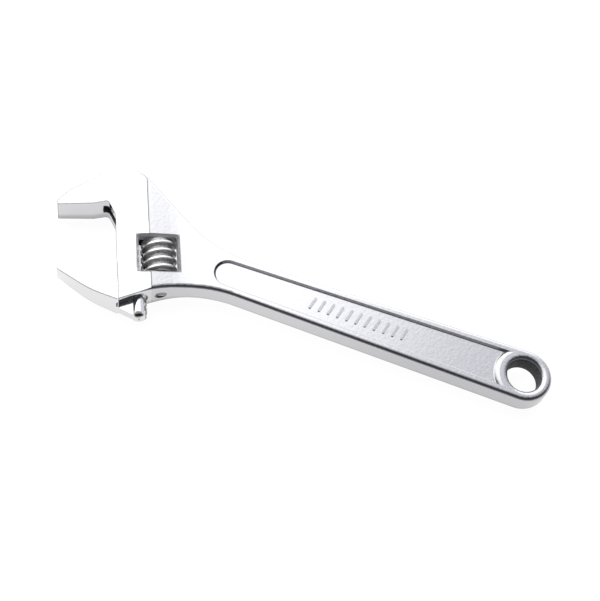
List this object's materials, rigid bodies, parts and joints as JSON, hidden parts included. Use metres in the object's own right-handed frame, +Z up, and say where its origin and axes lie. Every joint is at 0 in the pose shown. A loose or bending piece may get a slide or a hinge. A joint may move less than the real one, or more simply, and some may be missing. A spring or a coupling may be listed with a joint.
{
  "type": "adjustable wrench",
  "caption": "Open-ended adjustable spanner with a fixed jaw, a sliding jaw driven by a thumb worm, a sunk handle panel and a hanging hole.",
  "frame": {"origin": "middle of the whole wrench's box in X and Y, at its lowest point, with the wrench lying flat and its jaws fully open", "axes": "+X along the handle from the head to the hanging hole, +Z up through the wrench's thickness, +Y towards the fixed jaw's back"},
  "size_m": [0.2512, 0.073, 0.0168],
  "materials": {
    "forging": "satin chrome plate, head ground and polished",
    "jaw": "ground and polished, chrome plated",
    "worm": "turned and knurled, bright plated",
    "pin": "turned steel",
    "spring": "drawn spring wire"
  },
  "bodies": {
    "body": {"body_forging": "forging", "worm_pin": "pin", "worm_spring": "spring"},
    "jaw": {"movable_jaw": "jaw"},
    "worm": {"worm": "worm"}
  },
  "joints": [
    {"name": "jaw_slide", "type": "slide", "parent": "body", "child": "jaw", "axis": [-0.3827, 0.9239, 0], "range_m": [0, 0.0332]},
    {"name": "worm_spin", "type": "hinge", "parent": "body", "child": "worm", "pos_m": [-0.07033, -0.00237, 0.0084], "axis": [-0.3827, 0.9239, 0], "range_deg": [-2780, 0]}
  ],
  "couplings": [
    {"joint": "worm_spin", "follows": "jaw_slide", "rad_per_m": -1461.2}
  ]
}
